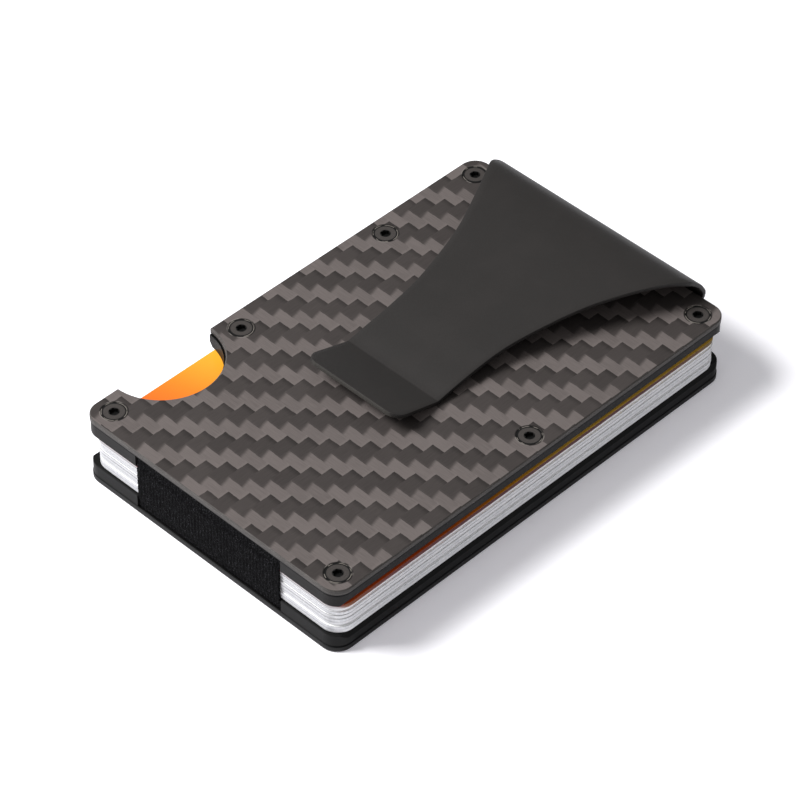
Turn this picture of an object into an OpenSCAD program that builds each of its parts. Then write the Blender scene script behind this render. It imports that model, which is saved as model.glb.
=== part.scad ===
// Minimalist card holder with a money clip.
// Two pairs of plates clamp a stack of cards. An elastic band runs round both
// inner plates, and a bent spring sheet is clamped under the top outer plate.
// Origin: centre of the underside of the bottom outer plate.
// +X runs along the plates towards the end that carries the clip,
// +Y runs across them towards the edge with the thumb notch, +Z is up.

/* [Plates] */
// Length of the outer plates
plate_l = 87.4; // [87:0.1:87.8]
// Width of the outer plates
plate_w = 55.5; // [55:0.1:57]
// Corner radius of the plates
plate_r = 3; // [2:0.1:4]
// Thickness of each outer plate
outer_t = 1.1; // [1.1:0.05:1.4]
// Thickness of each inner plate
inner_t = 2.35; // [2.3:0.05:3]
// How far the inner plates stand back from the outer plates' outline
inner_inset = 0.1; // [0.05:0.05:0.2]
// Small chamfer along the outer plates' edges
edge_c = 0.18; // [0.1:0.02:0.25]
// Lead-in chamfer along the long card-side edges of the inner plates
lead_c = 0.6; // [0.3:0.1:0.8]

/* [Thumb notch] */
// Radius of the notch in the outer plates
notch_r = 9.8; // [8:0.1:10.2]
// Position of the notch centre along the long edge
notch_x = -26.3; // [-27:0.1:-25]
// How far the notch centre stands out of the long edge
notch_out = 0.4; // [0:0.1:1]

/* [Cards] */
// Length of a card
card_l = 85.6; // [85.47:0.01:85.72]
// Width of a card
card_w = 53.98; // [53.92:0.01:54.03]
// Thickness of a card
card_t = 0.74; // [0.7:0.01:0.75]
// Distance from one card to the next
card_pitch = 0.77; // [0.77:0.005:0.78]
// Corner radius of a card
card_r = 3.18; // [2.88:0.1:3.48]

/* [Screws] */
// Distance of the corner screws from the short edges
screw_in = 3.65; // [3.3:0.05:3.8]
// Distance of the screws from the long edges
screw_side = 3.45; // [3.3:0.05:3.8]
// Radius of the countersunk head
head_r = 2.05; // [1.9:0.05:2.1]
// Radius of the threaded shank
shank_r = 0.95; // [0.9:0.01:0.97]
// Overall length of a screw
screw_l = 3.1; // [2.6:0.1:3.3]

/* [Elastic band] */
// Width of the elastic band
band_w = 31; // [28:0.5:32]
// Thickness of the elastic band
band_t = 0.45; // [0.35:0.05:0.45]

/* [Money clip] */
// Thickness of the spring sheet
clip_t = 0.7; // [0.5:0.05:0.7]
// Half of the width of the rolled end
roll_hw = 21.55; // [20:0.1:22]
// Greatest height of the clip's upper face above the top plate
roll_h = 5.05; // [4.8:0.05:5.3]
// Gap between the resting fold and the top plate
fold_gap = 0.1; // [0.05:0.05:0.2]
// Half of the width of the arm at its narrow end
neck_hw = 9.8; // [9:0.1:11]
// Where the arm reaches its full width, along X
flare_x = 40.6; // [38:0.1:42]
// Where the arm is highest, along X
crown_x = 35; // [32:0.5:37]
// Where the fold lies, along X
fold_x = -4; // [-6:0.5:0]
// Length of the lifted tip
tip_l = 9.2; // [7:0.1:11]
// Rise of the lifted tip
tip_rise = 2.8; // [2:0.1:3.5]

/* [Hidden] */
$fn = 64;

// Levels of the stack
n_cards = 8;
card_gap = n_cards * card_pitch + 0.04;       // clear height between the inner plates
z_b1 = outer_t;                               // bottom outer plate / inner plate
z_b2 = outer_t + inner_t;                     // top of the bottom inner plate
z_t1 = z_b2 + card_gap;                       // underside of the top inner plate
z_t2 = z_t1 + inner_t;                        // top inner plate / outer plate
z_top = z_t2 + outer_t;                       // upper face of the top outer plate

inner_l = plate_l - 2 * inner_inset;
inner_w = plate_w - 2 * inner_inset;

// Screw positions, the same on both faces
sx = plate_l / 2 - screw_in;
sy = plate_w / 2 - screw_side;
SCREWS = [[-sx, sy], [-13.1, sy], [19.1, sy], [sx, sy],
          [sx, -sy], [1.1, -sy], [-sx, -sy]];

// Where the elastic lies: channel in the inner plates, round their ends
chan_hw = band_w / 2 + 0.25;
chan_d = band_t + 0.1;
band_xi = plate_l / 2 - 0.65;                 // inner face of the band beside a plate
band_xo = band_xi + band_t;
card_x0 = -0.4;                               // the stack sits a little to one end
card_y0 = -0.45;                              // and a little out of the open long edge
bulge_xi = card_l / 2 - card_x0 + 0.1;        // inner face of the band beside the cards

// Each card's own small offset in the stack
CARD_DX = [0.05, -0.05, 0.1, 0, -0.05, 0.05, 0, -0.05];
CARD_DY = [0.05, -0.1, 0.1, 0, 0.05, -0.05, 0.1, -0.1];

// Clip levels
pocket_d = clip_t + 0.05;                     // pocket for the clip flange
flange_z = z_t2 - clip_t - 0.02;              // underside of the flange
step_d = pocket_d + chan_d;                   // depth of the band channel under the flange
wall_x = plate_l / 2 + 1.1;                   // middle of the upright wall of the roll
hinge_z = z_top + 0.1;                        // bend line, where the roll leaves the wall
split_g = 0.05;                               // half of the gap at the bend line
low_r = 1;                                    // lower bend, middle of the sheet

// ---------- shared shapes ----------

// Flat plate with round corners and a chamfer below (cb) and above (ct)
module plate_solid(l, w, r, t, cb, ct) {
    hl = l / 2;
    hw = w / 2;
    translate([0, w / 2 - r, 0]) rotate([90, 0, 0])
        linear_extrude(w - 2 * r)
            polygon([[-hl + cb, 0], [hl - cb, 0], [hl, cb], [hl, t - ct],
                     [hl - ct, t], [-hl + ct, t], [-hl, t - ct], [-hl, cb]]);
    translate([-(l / 2 - r), 0, 0]) rotate([90, 0, 90])
        linear_extrude(l - 2 * r)
            polygon([[-hw + cb, 0], [hw - cb, 0], [hw, cb], [hw, t - ct],
                     [hw - ct, t], [-hw + ct, t], [-hw, t - ct], [-hw, cb]]);
    for (i = [-1, 1], j = [-1, 1])
        translate([i * (hl - r), j * (hw - r), 0])
            rotate_extrude()
                polygon([[0, 0], [r - cb, 0], [r, cb], [r, t - ct],
                         [r - ct, t], [0, t]]);
}

// Round-cornered outline
module rounded(l, w, r) {
    square([l - 2 * r, w], center = true);
    square([l, w - 2 * r], center = true);
    for (i = [-1, 1], j = [-1, 1])
        translate([i * (l / 2 - r), j * (w / 2 - r)]) circle(r = r);
}

// Countersunk hole through an outer plate, mouth up at z = 0
module sink_hole() {
    translate([0, 0, -0.14]) cylinder(h = 1, r = head_r + 0.09);
    translate([0, 0, -outer_t + 0.02])
        cylinder(h = outer_t - 0.16, r1 = shank_r + 0.14, r2 = head_r + 0.09);
    translate([0, 0, -outer_t - 1]) cylinder(h = 2, r = shank_r + 0.14);
}

// Countersunk screw with a six-lobed socket, head up, top of the head at z = 0
module screw() {
    difference() {
        union() {
            translate([0, 0, -0.12]) cylinder(h = 0.12, r = head_r);
            translate([0, 0, -outer_t + 0.04])
                cylinder(h = outer_t - 0.16, r1 = shank_r, r2 = head_r);
            translate([0, 0, -screw_l]) cylinder(h = screw_l - outer_t + 0.1, r = shank_r);
        }
        translate([0, 0, -0.62]) {
            cylinder(h = 1, r = 0.66);
            for (a = [0:60:300]) rotate([0, 0, a])
                translate([0.66, 0, 0]) cylinder(h = 1, r = 0.2, $fn = 24);
        }
    }
}

// Outer plate, its outer face up at z = outer_t
module outer_plate() {
    difference() {
        plate_solid(plate_l, plate_w, plate_r, outer_t, 0.1, edge_c);
        translate([notch_x, plate_w / 2 + notch_out, -1]) cylinder(h = outer_t + 2, r = notch_r, $fn = 96);
        translate([notch_x, plate_w / 2 + notch_out, outer_t - edge_c])
            cylinder(h = edge_c, r1 = notch_r, r2 = notch_r + edge_c, $fn = 96);
        for (p = SCREWS) translate([p[0], p[1], outer_t]) sink_hole();
    }
}

// Inner plate, its card side down at z = 0, band channel in the upper face
module inner_plate() {
    difference() {
        plate_solid(inner_l, inner_w, plate_r - inner_inset, inner_t, 0.1, 0.1);
        // thumb notch
        translate([notch_x, plate_w / 2 + notch_out, -1])
            cylinder(h = inner_t + 2, r = notch_r - 0.3, $fn = 96);
        // lead-in for the cards along both long edges
        for (m = [0, 1]) mirror([0, m, 0])
            translate([-60, inner_w / 2, 0]) rotate([90, 0, 90]) linear_extrude(120)
                polygon([[-lead_c, -0.01], [1, -0.01], [1, lead_c + 0.3], [0, lead_c + 0.3]]);
        // threaded holes
        for (p = SCREWS) translate([p[0], p[1], -1]) cylinder(h = inner_t + 2, r = shank_r + 0.05);
        // room for the band round both ends
        for (s = [-1, 1])
            translate([s * (band_xi - 0.05 + 5), 0, 0])
                cube([10, 2 * chan_hw, 20], center = true);
        children();
    }
}

// ---------- plates ----------

module bottom_outer_plate() {
    color([0.24, 0.23, 0.22])
        translate([0, 0, outer_t]) mirror([0, 0, 1]) outer_plate();
}

module bottom_inner_plate() {
    color([0.2, 0.2, 0.2])
        translate([0, 0, z_b2]) mirror([0, 0, 1]) inner_plate()
            translate([-60, -chan_hw, inner_t - chan_d]) cube([120, 2 * chan_hw, 5]);
}

module top_outer_plate() {
    color([0.3, 0.29, 0.28]) translate([0, 0, z_t2]) outer_plate();
}

module top_inner_plate() {
    color([0.24, 0.24, 0.24]) translate([0, 0, z_t1]) inner_plate() {
        // band channel, dropping below the clip flange at the clip end
        translate([0, chan_hw, inner_t]) rotate([90, 0, 0]) linear_extrude(2 * chan_hw)
            polygon([[-60, -chan_d], [29, -chan_d], [30.5, -step_d], [60, -step_d],
                     [60, 2], [-60, 2]]);
        // pocket for the clip flange, open at the clip end over the roll's width
        translate([36.2, -sy - 2.2, inner_t - pocket_d])
            cube([plate_l / 2 - 0.55 - 36.2, 2 * sy + 4.4, 5]);
        translate([36.2, -roll_hw - 0.15, inner_t - pocket_d])
            cube([20, 2 * roll_hw + 0.3, 5]);
    }
}

// ---------- screws ----------

module bottom_screws() {
    color([0.25, 0.25, 0.26])
        for (p = SCREWS) translate([p[0], p[1], 0.03]) mirror([0, 0, 1]) screw();
}

module top_screws() {
    color([0.25, 0.25, 0.26])
        for (p = SCREWS) translate([p[0], p[1], z_top - 0.03]) screw();
}

// ---------- elastic band ----------

module band_profile(points) {
    translate([0, band_w / 2, 0]) rotate([90, 0, 0]) linear_extrude(band_w) polygon(points);
}

module elastic_bottom_run() {
    color([0.1, 0.1, 0.1])
        band_profile([[-band_xi + 0.02, z_b1 + 0.04], [band_xi - 0.02, z_b1 + 0.04],
                      [band_xi - 0.02, z_b1 + 0.04 + band_t], [-band_xi + 0.02, z_b1 + 0.04 + band_t]]);
}

module elastic_top_run() {
    z = z_t2 - 0.03;
    d = step_d - chan_d;
    color([0.1, 0.1, 0.1])
        band_profile([[-band_xi + 0.02, z], [29.2, z], [30.7, z - d], [band_xi - 0.02, z - d],
                      [band_xi - 0.02, z - d - band_t], [30.4, z - d - band_t],
                      [28.9, z - band_t], [-band_xi + 0.02, z - band_t]]);
}

// End span: flat beside the plates, standing out over the card edges
module end_span(z0, z1, bulge) {
    band_profile([[band_xi, z0], [band_xo, z0], [band_xo, z_b2 - 0.9],
                  [bulge + band_t, z_b2 + 0.1], [bulge + band_t, z_t1 - 0.1],
                  [band_xo, z_t1 + 0.9], [band_xo, z1], [band_xi, z1],
                  [band_xi, z_t1 + 0.8], [bulge, z_t1],
                  [bulge, z_b2], [band_xi, z_b2 - 0.8]]);
}

module elastic_left_span() {
    color([0.12, 0.12, 0.12])
        mirror([1, 0, 0]) end_span(z_b1 + 0.04, z_t2 - 0.03, bulge_xi);
}

module elastic_right_span() {
    color([0.12, 0.12, 0.12])
        end_span(z_b1 + 0.04, z_t2 - 0.03 - (step_d - chan_d), bulge_xi);
}

// ---------- cards ----------

module card(i) {
    translate([card_x0 + CARD_DX[i], card_y0 + CARD_DY[i], z_b2 + 0.035 + i * card_pitch])
        linear_extrude(card_t) rounded(card_l, card_w, card_r);
}

// ---------- money clip ----------

// Upper face of the arm: distance along X and height above the top plate.
// A quarter ellipse rises from the wall to the crown, the arm falls with an
// even slope to the fold, and the tip lifts in a straight line.
fold_top = fold_gap + clip_t;
wall_o = wall_x + clip_t / 2;
function ease(u) = (6 * u - pow(u, 6)) / 5;   // even slope that turns level at u = 1
ROLL = [for (k = [0:15]) let (g = k * 6) [crown_x + (wall_o - crown_x) * cos(g), 0.1 + (roll_h - 0.1) * sin(g)]];
ARM = [for (k = [1:20]) let (u = 1 - k / 20)
    [fold_x + (crown_x - fold_x) * u, fold_top + (roll_h - fold_top) * ease(u)]];
TIP = [[fold_x - 1, fold_top + 0.18], [fold_x - tip_l, fold_top + tip_rise]];

// Half of the arm's width along X: it widens by a power law up to the roll
half = concat(
    [[plate_l / 2 + 3, roll_hw]],
    [for (k = [0:24]) let (u = 1 - k / 24) [flare_x * u, neck_hw + (roll_hw - neck_hw) * pow(u, 2.2)]],
    [[fold_x - tip_l + 2.5, neck_hw]]);

// Unit normal on the lower side of the arm's curve at point i
function dirn(p, i) = let (d = p[min(i + 1, len(p) - 1)] - p[max(i - 1, 0)]) d / norm(d);
function below(p, t) = [for (i = [len(p) - 1:-1:0]) p[i] + t * [-dirn(p, i)[1], dirn(p, i)[0]]];

// Arc of radius r about (x, z) from angle a to angle b
function arc(x, z, r, a, b, n) = [for (k = [0:n]) let (g = a + (b - a) * k / n) [x + r * cos(g), z + r * sin(g)]];

arm_top = [for (p = concat(ROLL, ARM, TIP)) [p[0], p[1] + z_top]];

module clip_base() {
    x0 = 36.4;
    x1 = wall_x - low_r;
    zc = flange_z + clip_t / 2;
    color([0.25, 0.25, 0.24]) difference() {
        union() {
            // flange, clamped between the plates by the two corner screws
            translate([x0, -sy - 2, flange_z]) cube([plate_l / 2 - 0.7 - x0, 2 * sy + 4, clip_t]);
            // neck, lower bend and upright wall of the roll
            translate([0, roll_hw, 0]) rotate([90, 0, 0]) linear_extrude(2 * roll_hw)
                polygon(concat(
                    [[x0, flange_z]],
                    arc(x1, zc + low_r, low_r + clip_t / 2, -90, 0, 8),
                    [[wall_x + clip_t / 2, hinge_z - split_g], [wall_x - clip_t / 2, hinge_z - split_g]],
                    arc(x1, zc + low_r, low_r - clip_t / 2, 0, -90, 6),
                    [[x0, flange_z + clip_t]]));
        }
        for (s = [-1, 1]) translate([sx, s * sy, 0]) cylinder(h = 40, r = shank_r + 0.2);
    }
}

module clip_arm() {
    color([0.26, 0.25, 0.24]) intersection() {
        // side profile: roll, long sloping arm, fold and lifted tip
        difference() {
            translate([0, 30, 0]) rotate([90, 0, 0]) linear_extrude(60)
                polygon(concat(arm_top, below(arm_top, clip_t)));
            // the roll starts level, just above the wall
            translate([40, -40, 0]) cube([10, 80, hinge_z + split_g]);
        }
        // plan outline: wide at the roll, waisted, round corners at the tip
        linear_extrude(60) polygon(concat(
            half,
            arc(fold_x - tip_l + 2.4, neck_hw - 2.4, 2.4, 90, 180, 6),
            arc(fold_x - tip_l + 2.4, 2.4 - neck_hw, 2.4, 180, 270, 6),
            [for (i = [len(half) - 1:-1:0]) [half[i][0], -half[i][1]]]));
    }
}

bottom_outer_plate();
bottom_inner_plate();
bottom_screws();
elastic_bottom_run();
elastic_left_span();
elastic_right_span();
elastic_top_run();
top_inner_plate();
top_outer_plate();
top_screws();
clip_base();
clip_arm();
color([0.94, 0.94, 0.94]) card(0);  // card_1
color([0.9, 0.9, 0.9]) card(1);  // card_2
color([0.94, 0.94, 0.94]) card(2);  // card_3
color([0.9, 0.9, 0.9]) card(3);  // card_4
color([0.94, 0.94, 0.94]) card(4);  // card_5
color([0.9, 0.9, 0.9]) card(5);  // card_6
color([0.94, 0.94, 0.94]) card(6);  // card_7
color([0.96, 0.6, 0.22]) card(7);  // card_8
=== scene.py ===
import math

import bmesh
import bpy
import numpy as np
from mathutils import Matrix, Vector


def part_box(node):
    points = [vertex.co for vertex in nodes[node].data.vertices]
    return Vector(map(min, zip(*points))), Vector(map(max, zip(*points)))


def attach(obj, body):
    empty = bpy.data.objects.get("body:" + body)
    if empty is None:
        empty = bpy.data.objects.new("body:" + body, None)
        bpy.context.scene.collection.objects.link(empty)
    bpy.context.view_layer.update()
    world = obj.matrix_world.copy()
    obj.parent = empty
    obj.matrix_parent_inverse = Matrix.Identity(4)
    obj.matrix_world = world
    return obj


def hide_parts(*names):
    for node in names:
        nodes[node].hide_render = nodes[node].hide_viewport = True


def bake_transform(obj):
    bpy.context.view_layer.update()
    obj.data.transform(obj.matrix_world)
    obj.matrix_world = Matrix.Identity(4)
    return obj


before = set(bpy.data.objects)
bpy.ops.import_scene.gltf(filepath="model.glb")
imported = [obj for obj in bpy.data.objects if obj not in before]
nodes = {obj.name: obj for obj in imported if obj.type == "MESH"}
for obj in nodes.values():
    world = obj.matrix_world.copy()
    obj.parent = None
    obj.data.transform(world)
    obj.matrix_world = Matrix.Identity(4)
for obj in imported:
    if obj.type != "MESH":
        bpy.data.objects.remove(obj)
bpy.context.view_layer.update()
MM = 0.001
scene = bpy.context.scene

# ---------------------------------------------------------------- levels, taken from the frame
lo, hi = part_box("top_outer_plate")
PL, PW = (hi[0] - lo[0]) / MM, (hi[1] - lo[1]) / MM          # plate length and width, mm
Z_TOP = hi[2] / MM
Z_T2 = lo[2] / MM
Z_T1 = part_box("top_inner_plate")[0][2] / MM
Z_B2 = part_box("bottom_inner_plate")[1][2] / MM
Z_B1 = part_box("bottom_outer_plate")[1][2] / MM
arm_lo, arm_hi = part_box("clip_arm")
base_lo, base_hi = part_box("clip_base")


# ---------------------------------------------------------------- camera
def camera(az, el, roll, dist, target, f_px):
    a, e, r = map(math.radians, (az, el, roll))
    back = Vector((math.sin(a) * math.cos(e), -math.cos(a) * math.cos(e), math.sin(e)))
    fwd = -back
    right = fwd.cross(Vector((0, 0, 1))).normalized()
    up = right.cross(fwd)
    r2 = math.cos(r) * right + math.sin(r) * up
    u2 = -math.sin(r) * right + math.cos(r) * up
    place = Vector(target) + back * dist
    data = bpy.data.cameras.new("camera")
    data.sensor_fit = "AUTO"
    data.sensor_width = 36
    data.lens = f_px * 36 / 801
    data.clip_start = 0.01
    data.clip_end = 20
    cam = bpy.data.objects.new("camera", data)
    m = Matrix((r2, u2, back)).transposed().to_4x4()
    m.translation = place
    cam.matrix_world = m
    scene.collection.objects.link(cam)
    scene.camera = cam
    return cam


camera(-46.028, 43.289, 0.730, 585.75 * MM, (-1.250 * MM, 0.922 * MM, 5.136 * MM), 3734.6)


# ---------------------------------------------------------------- node helpers
SCREW_XY = [(-40.05, 24.3), (-40.05, -24.3), (40.05, 24.3), (40.05, -24.3), (-13.1, 24.3), (19.1, 24.3), (1.1, -24.3)]


class Mat:
    """Small helper that writes a shader as expressions."""

    def __init__(self, name):
        self.m = bpy.data.materials.new(name)
        self.m.use_nodes = True
        self.t = self.m.node_tree
        self.t.nodes.clear()
        self.out = self.t.nodes.new("ShaderNodeOutputMaterial")
        self.b = self.t.nodes.new("ShaderNodeBsdfPrincipled")
        self.t.links.new(self.b.outputs[0], self.out.inputs[0])
        c = self.t.nodes.new("ShaderNodeTexCoord")
        s = self.t.nodes.new("ShaderNodeVectorMath")
        s.operation = "SCALE"
        s.inputs["Scale"].default_value = 1000
        self.t.links.new(c.outputs["Object"], s.inputs[0])
        self.pos = s.outputs[0]
        x = self.t.nodes.new("ShaderNodeSeparateXYZ")
        self.t.links.new(self.pos, x.inputs[0])
        self.x, self.y, self.z = x.outputs

    def _in(self, sock, v):
        if isinstance(v, bpy.types.NodeSocket):
            self.t.links.new(v, sock)
        else:
            sock.default_value = v

    def math(self, op, a, b=None, c=None, clamp=False):
        n = self.t.nodes.new("ShaderNodeMath")
        n.operation = op
        n.use_clamp = clamp
        self._in(n.inputs[0], a)
        if b is not None:
            self._in(n.inputs[1], b)
        if c is not None:
            self._in(n.inputs[2], c)
        return n.outputs[0]

    def add(self, a, b): return self.math("ADD", a, b)
    def sub(self, a, b): return self.math("SUBTRACT", a, b)
    def mul(self, a, b): return self.math("MULTIPLY", a, b)
    def div(self, a, b): return self.math("DIVIDE", a, b)
    def floor(self, a): return self.math("FLOOR", a)
    def fract(self, a): return self.math("FRACT", a)
    def less(self, a, b): return self.math("LESS_THAN", a, b)

    def smooth(self, v, a, b):
        """0 below a, 1 above b, smooth between."""
        n = self.t.nodes.new("ShaderNodeMapRange")
        n.interpolation_type = "SMOOTHSTEP"
        self._in(n.inputs["Value"], v)
        self._in(n.inputs["From Min"], a)
        self._in(n.inputs["From Max"], b)
        return n.outputs["Result"]

    def lerp(self, a, b, t):
        """a at t = 0, b at t = 1, for numbers."""
        n = self.t.nodes.new("ShaderNodeMix")
        n.data_type = "FLOAT"
        self._in(n.inputs[0], t)
        self._in(n.inputs[2], a)
        self._in(n.inputs[3], b)
        return n.outputs[0]

    def mix(self, a, b, t, mode="MIX"):
        n = self.t.nodes.new("ShaderNodeMix")
        n.data_type = "RGBA"
        n.blend_type = mode
        self._in(n.inputs[0], t)
        self._in(n.inputs[6], a)
        self._in(n.inputs[7], b)
        return n.outputs[2]

    def vec(self, x, y, z):
        n = self.t.nodes.new("ShaderNodeCombineXYZ")
        for s, v in zip(n.inputs, (x, y, z)):
            self._in(s, v)
        return n.outputs[0]

    def noise(self, v, scale, detail=2.0, rough=0.5):
        n = self.t.nodes.new("ShaderNodeTexNoise")
        self._in(n.inputs["Vector"], v)
        n.inputs["Scale"].default_value = scale
        n.inputs["Detail"].default_value = detail
        n.inputs["Roughness"].default_value = rough
        return n.outputs["Fac"]

    def white(self, v):
        n = self.t.nodes.new("ShaderNodeTexWhiteNoise")
        self._in(n.inputs["Vector"], v)
        return n.outputs["Value"]

    def ramp(self, v, stops):
        n = self.t.nodes.new("ShaderNodeValToRGB")
        r = n.color_ramp
        r.elements[-1].position, r.elements[-1].color = stops[-1]
        r.elements[0].position, r.elements[0].color = stops[0]
        for p, c in stops[1:-1]:
            r.elements.new(p).color = c
        self._in(n.inputs[0], v)
        return n.outputs[0]

    def bump(self, height, distance, strength=1.0, normal=None):
        n = self.t.nodes.new("ShaderNodeBump")
        n.inputs["Strength"].default_value = strength
        n.inputs["Distance"].default_value = distance
        self._in(n.inputs["Height"], height)
        if normal is not None:
            self._in(n.inputs["Normal"], normal)
        return n.outputs[0]

    def normal_z(self):
        g = self.t.nodes.new("ShaderNodeNewGeometry")
        x = self.t.nodes.new("ShaderNodeSeparateXYZ")
        tr = self.t.nodes.new("ShaderNodeVectorTransform")
        tr.vector_type = "NORMAL"
        tr.convert_from = "WORLD"
        tr.convert_to = "OBJECT"
        self.t.links.new(g.outputs["True Normal"], tr.inputs[0])
        self.t.links.new(tr.outputs[0], x.inputs[0])
        return self.math("ABSOLUTE", x.outputs[2])

    def screw_r(self):
        """Distance from the nearest screw's axis."""
        r = None
        for cx, cy in SCREW_XY:
            dx, dy = self.sub(self.x, cx), self.sub(self.y, cy)
            d = self.math("SQRT", self.add(self.mul(dx, dx), self.mul(dy, dy)))
            r = d if r is None else self.math("MINIMUM", r, d)
        return r

    def set(self, **kw):
        for k, v in kw.items():
            self._in(self.b.inputs[k.replace("_", " ")], v)
        return self.m


def lin(r, g, b, k=1.0):
    """sRGB 0-255 to a linear colour."""
    out = []
    for c in (r, g, b):
        c = c / 255
        out.append(k * (c / 12.92 if c <= 0.04045 else ((c + 0.055) / 1.055) ** 2.4))
    return (*out, 1)


# ---------------------------------------------------------------- materials
def carbon():
    """2x2 twill under a thin satin coat on the faces, laminate layers on the edges."""
    m = Mat("carbon_twill")
    px, py, x0, y0, sk = 2.0931, 2.4284, 8.4696, -0.7466, 0.0236
    u = m.div(m.sub(m.sub(m.x, x0), m.mul(m.y, sk)), px)
    v = m.div(m.sub(m.y, y0), py)
    # tows wander a little, so their edges aren't ruled lines
    w1 = m.mul(m.sub(m.noise(m.pos, 0.9, 1.0), 0.5), 0.10)
    w2 = m.mul(m.sub(m.noise(m.vec(m.y, m.x, 7.0), 0.9, 1.0), 0.5), 0.10)
    u, v = m.add(u, w1), m.add(v, w2)
    i, j = m.floor(u), m.floor(v)
    fu, fv = m.fract(u), m.fract(v)
    s = m.math("FLOORED_MODULO", m.add(i, j), 4.0)
    is_y = m.less(s, 1.5)                                  # tow along Y on top
    # Y floats: t from the lower end (crisp) to the upper end (soft, slanted); their brightness along the float is a
    # painted highlight
    ty = m.div(m.add(s, fv), 2.0)
    edge_hi = m.sub(ty, m.mul(m.sub(fu, 0.5), 0.10))
    fade_y = m.sub(1.0, m.smooth(edge_hi, 0.80, 0.97))
    glint_y = m.sub(1.0, m.smooth(ty, 0.0, 0.14))
    # X floats: t from left to right, with painted shade darker at the right end
    tx = m.div(m.add(m.sub(s, 2.0), fu), 2.0)
    shade_x = m.smooth(tx, 0.70, 1.0)
    soft_x = m.sub(1.0, m.smooth(tx, 0.0, 0.12))
    # fine filaments along each tow
    fil_y = m.noise(m.vec(m.mul(m.x, 9.0), m.mul(m.y, 0.35), 0.0), 1.0, 2.0)
    fil_x = m.noise(m.vec(m.mul(m.x, 0.35), m.mul(m.y, 9.0), 3.0), 1.0, 2.0)
    # every tow float has its own tone
    tone_y = m.white(m.vec(i, m.floor(m.div(m.sub(m.add(i, j), s), 4.0)), 1.0))
    tone_x = m.white(m.vec(m.floor(m.div(m.sub(m.add(i, j), s), 4.0)), j, 2.0))
    ly = m.add(m.add(0.90, m.mul(glint_y, 0.16)), m.mul(m.sub(tone_y, 0.5), 0.16))
    ly = m.add(ly, m.mul(m.sub(fil_y, 0.5), 0.55))
    lx = m.add(m.sub(0.30, m.mul(shade_x, 0.13)), m.mul(soft_x, 0.06))
    lx = m.add(lx, m.mul(m.sub(tone_x, 0.5), 0.08))
    lx = m.add(lx, m.mul(m.sub(fil_x, 0.5), 0.20))
    y_part = m.lerp(0.33, ly, fade_y)
    weave = m.lerp(lx, y_part, is_y)
    big = m.add(0.94, m.mul(m.noise(m.pos, 0.12, 1.0), 0.12))
    weave = m.mul(weave, big)
    # the twill pattern is the plate's own; light Y floats over dark X floats are painted reflection of the tows
    face = m.mix(lin(22, 20, 19), lin(101, 94, 92), weave)
    # chamfered mouth of each screw hole: painted shade, with a painted highlight as a bright broken arc
    r = m.screw_r()
    mouth = m.mul(m.smooth(r, 2.10, 2.16), m.sub(1.0, m.smooth(r, 2.22, 2.34)))
    mouth_glint = m.smooth(m.noise(m.vec(m.x, m.y, 5.0), 0.55, 1.0), 0.50, 0.64)
    face = m.mix(face, m.mix(lin(20, 19, 19), lin(118, 113, 109), mouth_glint), m.mul(mouth, 0.8))
    # laminate edge: thin plies along the thickness
    ply = m.noise(m.vec(m.mul(m.x, 0.25), m.mul(m.y, 0.25), m.mul(m.z, 9.0)), 1.0, 2.0)
    grit = m.noise(m.pos, 6.0, 2.0)
    side_v = m.add(m.mul(ply, 0.6), m.mul(grit, 0.4))
    side = m.ramp(side_v, [(0.30, lin(48, 46, 44)), (0.5, lin(66, 63, 61)), (0.70, lin(88, 84, 82))])
    # the lower plate's edge is painted darker as shade near the floor, with a painted highlight line near the floor
    # side
    low = m.ramp(side_v, [(0.30, lin(12, 12, 12)), (0.5, lin(18, 18, 18)), (0.70, lin(28, 27, 27))])
    pale = m.mul(m.smooth(m.z, 0.10, 0.20), m.sub(1.0, m.smooth(m.z, 0.26, 0.38)))
    low = m.mix(low, lin(70, 68, 66), m.mul(pale, 0.8))
    side = m.mix(low, side, m.smooth(m.z, 5.0, 6.0))
    # shadow in the joint against the inner plate
    joint_shade = m.sub(1.0, m.smooth(m.math("ABSOLUTE", m.sub(m.z, 12.0)), 0.12, 0.32))
    joint_shade = m.math("MAXIMUM", joint_shade, m.sub(1.0, m.smooth(m.math("ABSOLUTE", m.sub(m.z, 1.1)), 0.12, 0.30)))
    side = m.mix(side, lin(4, 4, 4), joint_shade)
    on_face = m.smooth(m.normal_z(), 0.80, 0.95)
    # painted shade: the faces against the inner plates, seen only in the ledges and the band's channel, are painted
    # near black
    joint_face_shade = m.math("MAXIMUM", m.sub(1.0, m.smooth(m.math("ABSOLUTE", m.sub(m.z, 1.1)), 0.03, 0.08)),
                 m.sub(1.0, m.smooth(m.math("ABSOLUTE", m.sub(m.z, 12.0)), 0.03, 0.08)))
    face = m.mix(face, lin(9, 9, 9), joint_face_shade)
    # faces take the face colour, edges the side colour
    colour = m.mix(side, face, on_face)
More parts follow.
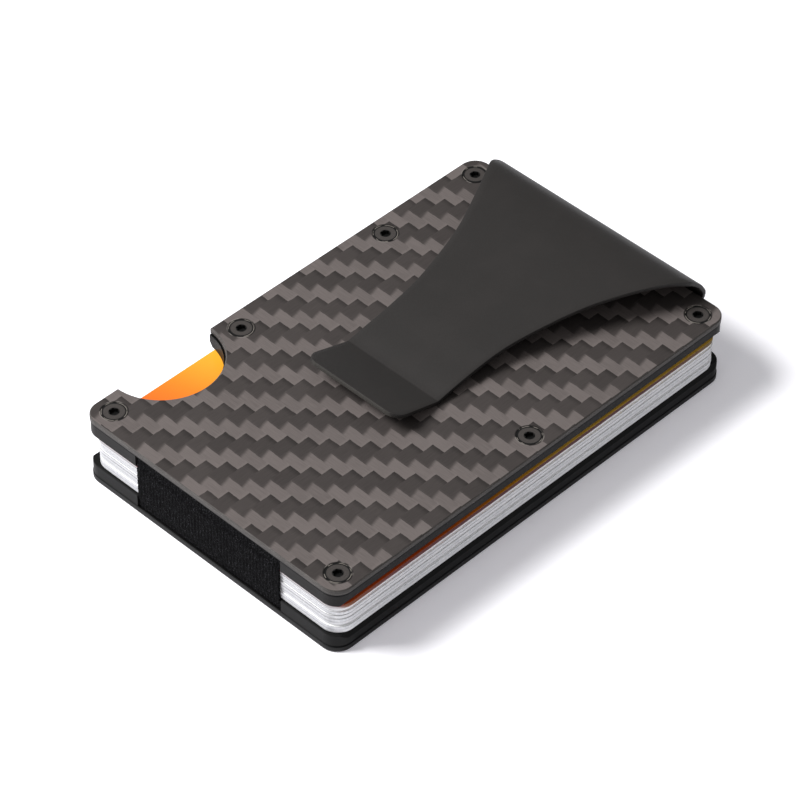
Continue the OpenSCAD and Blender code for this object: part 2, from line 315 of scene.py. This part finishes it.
    # relief: rounded tows under the coat
    arch_y = m.sub(1.0, m.math("POWER", m.math("ABSOLUTE", m.sub(m.mul(fu, 2.0), 1.0)), 3.0))
    arch_x = m.sub(1.0, m.math("POWER", m.math("ABSOLUTE", m.sub(m.mul(fv, 2.0), 1.0)), 3.0))
    long_y = m.sub(1.0, m.math("POWER", m.math("ABSOLUTE", m.sub(m.mul(ty, 2.0), 1.0)), 2.0))
    long_x = m.sub(1.0, m.math("POWER", m.math("ABSOLUTE", m.sub(m.mul(tx, 2.0), 1.0)), 2.0))
    hy = m.add(m.mul(arch_y, 0.4), long_y)
    hx = m.add(m.mul(arch_x, 0.4), long_x)
    height = m.lerp(hx, hy, is_y)
    height = m.add(height, m.mul(m.lerp(fil_x, fil_y, is_y), 0.35))
    height = m.mul(height, on_face)
    grain = m.noise(m.pos, 14.0, 2.0)
    n1 = m.bump(height, 0.000012, 0.9)
    n2 = m.bump(grain, 0.000006, 0.6, n1)
    rough = m.lerp(0.55, m.lerp(0.46, 0.40, is_y), on_face)
    rough = m.add(rough, m.mul(m.sub(m.noise(m.pos, 0.5, 2.0), 0.5), 0.08))
    return m.set(Base_Color=colour, Roughness=rough, Normal=n2, Specular_IOR_Level=0.16,
                 Coat_Weight=0.05, Coat_Roughness=0.30)


def anodised():
    """Black anodised aluminium: matt, with fine milling lines round the edge."""
    m = Mat("black_anodised")
    mill = m.noise(m.vec(m.mul(m.x, 0.15), m.mul(m.y, 0.15), m.mul(m.z, 14.0)), 1.0, 2.0)
    speck = m.noise(m.pos, 9.0, 3.0, 0.7)
    v = m.add(m.mul(mill, 0.45), m.mul(speck, 0.55))
    col = m.ramp(v, [(0.32, lin(20, 20, 20)), (0.5, lin(29, 28, 28)), (0.68, lin(42, 40, 39))])
    cloud = m.noise(m.pos, 0.2, 2.0)
    col = m.mix(col, lin(44, 42, 41), m.mul(m.smooth(cloud, 0.45, 0.75), 0.35))
    # painted shade: the lower plate is painted darker than the upper one, near the floor
    col = m.mix(lin(18, 18, 18), col, m.smooth(m.z, 5.0, 9.0))
    # painted shade: near black lines in the joints with the outer plates
    joint_shade = m.sub(1.0, m.smooth(m.math("ABSOLUTE", m.sub(m.z, 12.0)), 0.12, 0.30))
    joint_shade = m.math("MAXIMUM", joint_shade, m.sub(1.0, m.smooth(m.math("ABSOLUTE", m.sub(m.z, 1.1)), 0.12, 0.28)))
    col = m.mix(col, lin(4, 4, 4), joint_shade)
    rough = m.add(0.42, m.mul(speck, 0.2))
    n = m.bump(v, 0.00001, 0.6)
    return m.set(Base_Color=col, Roughness=rough, Normal=n, Metallic=0.0, Specular_IOR_Level=0.10)


def black_screw():
    """Black oxide steel: turned head, painted shade in the recess round the rim with a painted highlight arc, socket
    painted black as shade.
    """
    m = Mat("black_oxide")
    speck = m.noise(m.pos, 12.0, 3.0, 0.6)
    r = m.screw_r()
    turned = m.noise(m.vec(m.mul(r, 16.0), 0.0, 0.0), 1.0, 1.0)
    col = m.ramp(m.add(m.mul(speck, 0.6), m.mul(turned, 0.4)),
                 [(0.3, lin(44, 41, 40)), (0.5, lin(62, 58, 56)), (0.72, lin(88, 83, 80))])
    # painted shade: the outer ring of the head goes near black
    rim = m.smooth(r, 1.62, 1.80)
    col = m.mix(col, lin(9, 9, 9), rim)
    # painted highlight: bright broken arcs on the rim
    rim_glint = m.mul(m.smooth(r, 1.90, 1.97), m.smooth(m.noise(m.pos, 0.9, 1.0), 0.42, 0.55))
    col = m.mix(col, lin(120, 114, 108), rim_glint)
    # painted shade: the socket painted near black
    col = m.mix(lin(7, 7, 7), col, m.smooth(r, 0.80, 0.95))
    rough = m.add(0.40, m.mul(speck, 0.15))
    n = m.bump(m.add(speck, m.mul(turned, 0.6)), 0.000010, 0.6)
    return m.set(Base_Color=col, Roughness=rough, Normal=n, Metallic=0.15, Specular_IOR_Level=0.3)


def clip_paint():
    """Matt black coating on spring steel: faint orange peel, a painted highlight on the tip's end."""
    m = Mat("clip_coating")
    fine = m.noise(m.pos, 11.0, 3.0, 0.65)
    soft = m.noise(m.pos, 0.16, 2.0)
    col = m.ramp(fine, [(0.30, lin(34, 32, 31)), (0.5, lin(39, 37, 36)), (0.70, lin(45, 43, 42))])
    col = m.mix(col, lin(46, 43, 42), m.mul(m.smooth(soft, 0.40, 0.75), 0.30))
    # painted highlight along the tip's arris and its cut end, where the bevel catches the light
    end = m.sub(1.0, m.smooth(m.x, -13.16, -13.0))
    col = m.mix(col, lin(58, 56, 53), m.mul(end, m.add(0.35, m.mul(fine, 0.6))))
    rough = m.add(0.46, m.mul(fine, 0.12))
    n = m.bump(fine, 0.000008, 0.55)
    return m.set(Base_Color=col, Roughness=rough, Normal=n, Specular_IOR_Level=0.24)


def knit():
    """Knitted elastic: loops in columns, fuzzy, a few pale fibres."""
    m = Mat("elastic_knit")
    speck = m.noise(m.pos, 5.5, 3.0, 0.75)
    fibre = m.noise(m.vec(m.mul(m.x, 2.0), m.mul(m.y, 7.0), m.mul(m.z, 2.5)), 1.0, 3.0, 0.7)
    col = m.ramp(m.add(m.mul(speck, 0.5), m.mul(fibre, 0.5)),
                 [(0.40, lin(1, 1, 1)), (0.50, lin(6, 6, 7)), (0.58, lin(24, 24, 26)), (0.70, lin(96, 96, 100))])
    n = m.bump(m.add(speck, fibre), 0.00014, 1.0)
    return m.set(Base_Color=col, Roughness=0.92, Normal=n, Sheen_Weight=0.0, Sheen_Roughness=0.5,
                 Specular_IOR_Level=0.05)


def card_paper(name, edge, orange=False):
    """PVC card: satin faces, slightly rougher cut edge."""
    m = Mat(name)
    grain = m.noise(m.pos, 4.0, 3.0, 0.6)
    cut = m.noise(m.vec(m.mul(m.x, 3.0), m.mul(m.y, 3.0), m.mul(m.z, 1.0)), 1.0, 2.0)
    flat = m.smooth(m.normal_z(), 0.7, 0.95)
    # painted shade: the side colour is set darker than the face, broken by lighter cut noise
    side = m.mix(edge, lin(222, 222, 224), m.smooth(cut, 0.35, 0.75))
    if orange:
        t = m.smooth(m.add(m.x, m.mul(m.y, 0.25)), -34.0, 4.0)
        face = m.ramp(t, [(0.0, lin(212, 84, 26)), (0.30, lin(226, 124, 28)), (0.62, lin(234, 160, 40)), (1.0, lin(240, 190, 74))])
        # painted shade: the long side runs deep red to brown as the top face in shade under the plate, olive at the
        # right end where light reaches
        side = m.ramp(m.div(m.add(m.x, 43.2), 86.0), [(0.0, lin(120, 66, 22)), (0.12, lin(88, 24, 16)), (0.30, lin(70, 12, 14)), (0.80, lin(64, 14, 12)), (0.92, lin(88, 52, 16)), (1.0, lin(104, 88, 22))])
        # painted shade: the -X end is grey below a crimson top line
        end = m.mix(lin(176, 172, 173), lin(112, 14, 30), m.smooth(m.z, 9.16, 9.30))
        side = m.mix(end, side, m.smooth(m.x, -42.6, -41.0))
    else:
        face = m.mix(lin(236, 236, 237), lin(246, 246, 246), grain)
    if not orange:
        # dirt and shade in the joints between neighbouring cards
        k = m.div(m.sub(m.z, 3.47), 0.77)
        near = m.math("ABSOLUTE", m.sub(m.fract(m.add(k, 0.5)), 0.5))
        idx = m.floor(m.add(k, 0.5))
        deep = m.add(0.35, m.mul(m.white(m.vec(idx, 4.0, 2.0)), 0.65))
        patchy = m.add(0.60, m.mul(m.noise(m.vec(m.mul(m.x, 0.2), m.mul(m.y, 0.2), m.z), 1.0, 2.0), 0.9))
        line = m.mul(m.mul(m.sub(1.0, m.smooth(near, 0.07, 0.21)), deep), patchy)
        # painted shade: the cards' end faces are greyed
        end_face_shade = m.mul(m.smooth(m.math("ABSOLUTE", m.x), 42.3, 43.0), 0.42)
        side = m.mix(side, lin(120, 120, 123), end_face_shade)
        side = m.mix(side, lin(14, 15, 17), m.math("MINIMUM", line, 1.0))
    col = m.mix(side, face, flat)
    rough = m.lerp(0.55, 0.32, flat)
    n = m.bump(grain, 0.000006, 0.5)
    return m.set(Base_Color=col, Roughness=rough, Normal=n, Specular_IOR_Level=0.4)


CARBON, ANOD, SCREW, CLIP, KNIT = carbon(), anodised(), black_screw(), clip_paint(), knit()
# edge colours darker than the white faces: painted shade on the card sides
WHITES = [card_paper("card_white", lin(214, 214, 217)), card_paper("card_white_cool", lin(204, 205, 209))]
ORANGE = card_paper("card_orange", lin(180, 40, 30), True)


def dress(name, mat):
    o = nodes[name]
    o.data.materials.clear()
    o.data.materials.append(mat)


for n in ("top_outer_plate", "bottom_outer_plate"):
    dress(n, CARBON)
for n in ("top_inner_plate", "bottom_inner_plate"):
    dress(n, ANOD)
for n in ("top_screws", "bottom_screws"):
    dress(n, SCREW)


# ---------------------------------------------------------------- mesh helpers
def new_piece(name, verts, faces, mat, smooth=True, sharp=40):
    me = bpy.data.meshes.new(name)
    me.from_pydata([(x * MM, y * MM, z * MM) for x, y, z in verts], [], faces)
    me.validate()
    bm = bmesh.new()
    bm.from_mesh(me)
    bmesh.ops.recalc_face_normals(bm, faces=bm.faces)
    for f in bm.faces:
        f.smooth = smooth
    for e in bm.edges:
        if len(e.link_faces) == 2 and e.calc_face_angle(0) > math.radians(sharp):
            e.smooth = False
    bm.to_mesh(me)
    bm.free()
    me.materials.append(mat)
    o = bpy.data.objects.new(name, me)
    scene.collection.objects.link(o)
    return o


def catmull(p, n):
    out = []
    for i in range(len(p) - 1):
        p0, p1, p2, p3 = (np.array(p[max(i - 1, 0)], float), np.array(p[i], float),
                          np.array(p[i + 1], float), np.array(p[min(i + 2, len(p) - 1)], float))
        for k in range(n):
            t = k / n
            out.append(0.5 * (2 * p1 + (p2 - p0) * t + (2 * p0 - 5 * p1 + 4 * p2 - p3) * t * t
                              + (3 * p1 - p0 - 3 * p2 + p3) * t ** 3))
    out.append(np.array(p[-1], float))
    return np.array(out)


def resample(p, step):
    d = np.r_[0, np.cumsum(np.linalg.norm(np.diff(p, axis=0), axis=1))]
    n = max(int(round(d[-1] / step)), 2)
    s = np.linspace(0, d[-1], n + 1)
    return np.stack([np.interp(s, d, p[:, c]) for c in range(p.shape[1])], 1)


# ---------------------------------------------------------------- money clip, one bent sheet
def build_clip():
    t = 0.7
    wall = PL / 2 + 1.1                     # middle of the upright wall
    wo = wall + t / 2
    rh = 5.05
    ft = 0.8
    fl_top = Z_T2 - 0.02                    # upper face of the flange
    zc = fl_top - t / 2 + 1.0               # centre of the lower bend
    xc = wall - 1.0
    # outer line of the sheet, from the flange's inner end to the tip
    flange = [(x, fl_top - t) for x in np.linspace(36.4, xc, 16)]
    bend = [(xc + (1 + t / 2) * math.cos(a), zc + (1 + t / 2) * math.sin(a))
            for a in np.radians(np.linspace(-90, 0, 13))][1:]
    roll = [(wo, 0.15), (wo - 0.65, 1.25), (wo - 1.4, 2.25), (wo - 2.4, 3.2), (wo - 3.3, rh - 1.22), (wo - 4.4, rh - 0.66)]
    arm = [(39.4, rh - 0.3), (37.6, rh - 0.06), (35, rh + 0.02), (32, rh - 0.07), (28, rh - 0.37), (24, rh - 0.77),
           (20, rh - 1.18), (16, rh - 1.6), (12, ft + 2.24), (8, ft + 1.8), (4, ft + 1.24), (0, ft + 0.66),
           (-3, ft + 0.13), (-3.82, ft + 0.01), (-4.0, ft + 0.0), (-4.18, ft + 0.05), (-5, ft + 0.28), (-13.2, ft + 2.8)]
    upper = [(x, z + Z_TOP) for x, z in catmull(roll + arm[:13], 6)] + [(x, z + Z_TOP) for x, z in catmull(arm[12:], 5)[1:]]
    line = np.array(flange + bend + upper)
    d = np.diff(line, axis=0)
    keep = np.r_[True, np.linalg.norm(d, axis=1) > 0.02]
    line = line[keep]
    s = np.r_[0, np.cumsum(np.linalg.norm(np.diff(line, axis=0), axis=1))]
    # even stations, finer at the fold and the tip
    want = np.unique(np.r_[np.arange(0, s[-1], 0.45), s[-1] - np.linspace(0, 2.4, 22) ** 1.0,
                           s[-1] - 9.7 + np.linspace(-1.0, 1.0, 21)].round(3))
    want = want[(want >= 0) & (want <= s[-1])]
    want = want[np.r_[True, np.diff(want) > 0.04]]
    if s[-1] - want[-1] > 0.001:
        want = np.r_[want, s[-1]]
    want = np.unique(np.r_[want, want[0] + 0.09, want[-1] - 0.09, want[-1] - 0.03])
    pts = np.stack([np.interp(want, s, line[:, 0]), np.interp(want, s, line[:, 1])], 1)
    tan = np.gradient(pts, axis=0)
    tan /= np.linalg.norm(tan, axis=1)[:, None]
    nrm = np.stack([-tan[:, 1], tan[:, 0]], 1)      # left of travel: towards the inside of the roll
    hx = np.array([(-13.3, 9.9), (-10.7, 9.9), (-5, 9.8), (0, 9.8), (5, 9.87), (10, 10.2), (14, 10.83), (18, 11.75),
                   (22, 12.8), (26, 14.15), (30, 15.9), (34, 17.8), (38, 19.9), (40.2, 21.15), (41.6, 21.55), (43.6, 21.55), (47, 21.55)])
    cur = catmull([tuple(q) for q in hx], 8)
    verts, rings = [], []
    L = s[-1]
    b = 0.09
    for q, nn, ss, tt in zip(pts, nrm, want, tan):
        h = float(np.interp(q[0], cur[:, 0], cur[:, 1]))
        h = min(h, 21.55)
        if ss < 43.05 - 36.4:
            h = 26.3
        elif ss < s[len(flange) + 8]:
            h = 21.55
        r = 2.4
        if L - ss < r:                       # round corners at the tip
            u = 1 - (L - ss) / r
            h = h - r + r * math.sqrt(max(1 - u * u, 0))
        e = 0.0
        ring = []
        ys = np.linspace(-1, 1, 27)
        lip = min(b, 0.3 * t)
        # outer side, then inner side, with rounded arrises
        prof = [(-h + lip, 0)] + [(y * (h - lip), 0) for y in ys[1:-1]] + [(h - lip, 0)]
        prof += [(h - 0.3 * lip, 0.3 * lip), (h, lip), (h, t / 2), (h, t - lip), (h - 0.3 * lip, t - 0.3 * lip)]
        prof += [(h - lip, t)] + [(-y * (h - lip), t) for y in ys[1:-1]] + [(-h + lip, t)]
        prof += [(-h + 0.3 * lip, t - 0.3 * lip), (-h, t - lip), (-h, t / 2), (-h, lip), (-h + 0.3 * lip, 0.3 * lip)]
        for y, depth in prof:
            if ss in (want[0], want[-1]):       # rounded arris at the cut ends
                depth = b + (t - 2 * b) * depth / t
                y *= (h - 0.5 * b) / h
            ring.append(len(verts))
            verts.append((q[0] + nn[0] * depth, y, q[1] + nn[1] * depth))
        rings.append(ring)
    faces = []
    n = len(rings[0])
    for a, c in zip(rings[:-1], rings[1:]):
        for k in range(n):
            faces.append((a[k], a[(k + 1) % n], c[(k + 1) % n], c[k]))
    # end caps, as strips between the two sides
    for ring in (rings[0], rings[-1]):
        top, bot = ring[:27], ring[32:59][::-1]
        for k in range(26):
            faces.append((top[k], top[k + 1], bot[k + 1], bot[k]))
        faces.append((top[26], ring[27], ring[28], ring[29], ring[30], ring[31], bot[26]))
        faces.append((bot[0], ring[59], ring[60], ring[61], ring[62], ring[63], top[0]))
    o = new_piece("clip", verts, faces, CLIP, sharp=35)
    # holes for the two corner screws through the flange
    cut = bmesh.new()
    for sgn in (-1, 1):
        m = Matrix.Translation((40.05 * MM, sgn * 24.3 * MM, 11.6 * MM))
        bmesh.ops.create_cone(cut, cap_ends=True, segments=32, radius1=1.15 * MM, radius2=1.15 * MM, depth=3 * MM, matrix=m)
    cm = bpy.data.meshes.new("cut")
    cut.to_mesh(cm)
    cut.free()
    co = bpy.data.objects.new("cut", cm)
    scene.collection.objects.link(co)
    mod = o.modifiers.new("holes", "BOOLEAN")
    mod.operation = "DIFFERENCE"
    mod.solver = "EXACT"
    mod.object = co
    bpy.context.view_layer.update()
    done = bpy.data.meshes.new_from_object(o.evaluated_get(bpy.context.evaluated_depsgraph_get()))
    o.modifiers.clear()
    o.data = done
    o.data.name = "clip"
    bpy.data.objects.remove(co)
    bpy.data.meshes.remove(cm)
    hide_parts("clip_base", "clip_arm")
    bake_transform(o)
    return o


# ---------------------------------------------------------------- elastic band, one knitted loop
def build_band():
    hw, t = 15.5, 0.45
    xi = PL / 2 - 0.65
    xo = xi + t
    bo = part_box("elastic_left_span")
    bulge = -bo[0][0] / MM                  # how far the band stands out over the cards
    zb = Z_B1 + 0.04
    zt = Z_T2 - 0.03
    drop = 0.75
    r = 0.42

    def corner(cx, cz, a0, a1):
        return [(cx + r * math.cos(a), cz + r * math.sin(a)) for a in np.radians(np.linspace(a0, a1, 7))]

    def side(z0, z1, sgn):
        pts = [(xo, z0 + r), (xo, Z_B2 - 1.3), (xo + 0.03, Z_B2 - 0.75), (bulge - 0.02, Z_B2 - 0.08), (bulge, Z_B2 + 0.7),
               (bulge, Z_T1 - 0.7), (bulge - 0.02, Z_T1 + 0.08), (xo + 0.03, min(Z_T1 + 0.75, z1 - r - 0.25)), (xo, z1 - r)]
        c = catmull(pts, 8)
        return resample(c, 0.16)

    up_r = side(zb, zt - drop, 1)
    up_l = side(zb, zt, -1)
    loop = []
    loop += [(x, zb) for x in np.linspace(-(xo - r), xo - r, 60)]
    loop += corner(xo - r, zb + r, -90, 0)[1:]
    loop += [tuple(q) for q in up_r[1:]]
    loop += corner(xo - r, zt - drop - r, 0, 90)[1:]
    loop += [(x, zt - drop) for x in np.linspace(xo - r, 30.7, 10)[1:]]
    loop += [(30.3, zt - drop + 0.2), (29.6, zt - 0.2), (29.2, zt)]
    loop += [(x, zt) for x in np.linspace(29.2, -(xo - r), 60)[1:]]
    loop += [(-q[0], q[1]) for q in corner(xo - r, zt - r, 90, 0)[1:]]
    loop += [(-q[0], q[1]) for q in up_l[::-1][1:]]
    loop += [(-q[0], q[1]) for q in corner(xo - r, zb + r, 0, -90)[1:-1]]
    loop = np.array(loop)
    nxt, prv = np.roll(loop, -1, 0), np.roll(loop, 1, 0)
    tan = nxt - prv
    tan /= np.linalg.norm(tan, axis=1)[:, None]
    inn = np.stack([-tan[:, 1], tan[:, 0]], 1)      # towards the inside of the loop
    s = np.r_[0, np.cumsum(np.linalg.norm(np.diff(loop, axis=0), axis=1))]
    ribs = 44
    ys = np.linspace(-1, 1, ribs * 4 + 1)
    verts, rings = [], []
    rnd = np.random.default_rng(7)
    jit = rnd.random((len(loop), len(ys)))
    for i, (q, nn) in enumerate(zip(loop, inn)):
        flat = abs(q[0]) < xi - 0.2
        ring = []
        amp = 0.02 if flat else 0.10
        edge_wave = 0.0 if flat else 0.05 * math.sin(s[i] * 5.1) + 0.04 * math.sin(s[i] * 11.7 + 1)
        W = hw + edge_wave
        for k, y in enumerate(ys):
            rib = 0.5 + 0.5 * math.cos(y * ribs * math.pi)
            st = 0.5 + 0.5 * math.cos(s[i] * 2 * math.pi / 0.62 + (math.pi if int((y + 1) * ribs / 2) % 2 else 0))
            edge = max(0.0, (abs(y) - 0.985) / 0.015)
            dep = amp * (1 - rib * (0.55 + 0.45 * st)) + (0 if flat else 0.05 * jit[i, k]) + 0.12 * edge * edge
            ring.append(len(verts))
            verts.append((q[0] + nn[0] * dep, y * W, q[1] + nn[1] * dep))
        for k, y in enumerate(ys[::-8]):
            edge = max(0.0, (abs(y) - 0.985) / 0.015)
            dep = t - 0.10 * edge * edge
            ring.append(len(verts))
            verts.append((q[0] + nn[0] * dep, y * W, q[1] + nn[1] * dep))
        rings.append(ring)
    n = len(rings[0])
    faces = []
    for a, c in zip(rings, rings[1:] + rings[:1]):
        for k in range(n):
            faces.append((a[k], a[(k + 1) % n], c[(k + 1) % n], c[k]))
    o = new_piece("elastic_band", verts, faces, KNIT, sharp=180)
    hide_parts("elastic_bottom_run", "elastic_left_span", "elastic_right_span", "elastic_top_run")
    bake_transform(o)
    return o


# ---------------------------------------------------------------- cards
def build_cards():
    # arris radius below and above, and how much thinner than the pitch each card reads
    low = [0.06, 0.08, 0.18, 0.06, 0.10, 0.06, 0.18, 0.05]
    high = [0.08, 0.18, 0.06, 0.10, 0.06, 0.18, 0.05, 0.06]
    out = []
    for i in range(8):
        name = f"card_{i + 1}"
        (x0, y0, z0), (x1, y1, z1) = [[c / MM for c in p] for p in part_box(name)]
        cx, cy, hl, hh = (x0 + x1) / 2, (y0 + y1) / 2, (x1 - x0) / 2, (y1 - y0) / 2
        r = 3.18
        outline = []
        for (sx, sy, a0) in ((1, 1, 0), (-1, 1, 90), (-1, -1, 180), (1, -1, 270)):
            for a in np.radians(np.linspace(a0, a0 + 90, 17)):
                outline.append((sx * (hl - r) + r * math.cos(a), sy * (hh - r) + r * math.sin(a)))
        # extra points along the straight edges
        full = []
        for k, p in enumerate(outline):
            q = outline[(k + 1) % len(outline)]
            full.append(p)
            dd = math.dist(p, q)
            if dd > 5:
                m = int(dd // 4)
                full += [(p[0] + (q[0] - p[0]) * w / m, p[1] + (q[1] - p[1]) * w / m) for w in range(1, m)]
        full = np.array(full)
        c = np.roll(full, -1, 0) - np.roll(full, 1, 0)
        c /= np.linalg.norm(c, axis=1)[:, None]
        nn = np.stack([c[:, 1], -c[:, 0]], 1)          # outward
        bl, bh = low[i], high[i]
        levels = [(z0, -bl), (z0 + 0.3 * bl, -0.3 * bl), (z0 + bl, 0), ((z0 + z1) / 2, 0.0),
                  (z1 - bh, 0), (z1 - 0.3 * bh, -0.3 * bh), (z1, -bh)]
        verts, rings = [], []
        for z, inset in levels:
            ring = []
            for p, m in zip(full, nn):
                ring.append(len(verts))
                verts.append((cx + p[0] + m[0] * inset, cy + p[1] + m[1] * inset, z))
            rings.append(ring)
        faces = [tuple(rings[0][::-1]), tuple(rings[-1])]
        for a, b2 in zip(rings[:-1], rings[1:]):
            for k in range(len(a)):
                faces.append((a[k], a[(k + 1) % len(a)], b2[(k + 1) % len(a)], b2[k]))
        o = new_piece(f"card_{i + 1}_body", verts, faces, ORANGE if i == 7 else WHITES[i % 2], sharp=60)
        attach(o, name)
        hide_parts(name)
        out.append(o)
    return out


clip = build_clip()
band = build_band()
cards = build_cards()

# ---------------------------------------------------------------- floor, light
floor_mesh = bpy.data.meshes.new("floor")
floor_mesh.from_pydata([(-3, -3, 0), (3, -3, 0), (3, 3, 0), (-3, 3, 0)], [], [(0, 1, 2, 3)])
floor = bpy.data.objects.new("floor", floor_mesh)
scene.collection.objects.link(floor)
fm = Mat("floor_paper")
floor_mesh.materials.append(fm.set(
    Base_Color=fm.mix(lin(243, 242, 246), lin(247, 247, 249), fm.noise(fm.pos, 0.02, 2.0)),
    Roughness=0.9, Specular_IOR_Level=0.1,
    Emission_Color=lin(238, 236, 245), Emission_Strength=0.24))


def area(name, place, aim, size, power, colour=(1, 1, 1)):
    data = bpy.data.lights.new(name, "AREA")
    data.shape = "RECTANGLE"
    data.size, data.size_y = size
    data.energy = power
    data.color = colour
    o = bpy.data.objects.new(name, data)
    o.location = place
    d = Vector(aim) - Vector(place)
    o.rotation_euler = d.to_track_quat("-Z", "Y").to_euler()
    scene.collection.objects.link(o)
    return o


world = bpy.data.worlds.new("studio")
world.use_nodes = True
world.node_tree.nodes["Background"].inputs[0].default_value = (1, 1, 1, 1)
world.node_tree.nodes["Background"].inputs[1].default_value = 0.30
scene.world = world
area("key", (-0.44, 0.48, 0.70), (0, 0, 0), (0.40, 0.40), 14.5)
area("left", (-0.80, -0.10, 0.25), (-0.02, 0, 0.008), (0.35, 0.30), 0.7)
scene.view_settings.view_transform = "Standard"
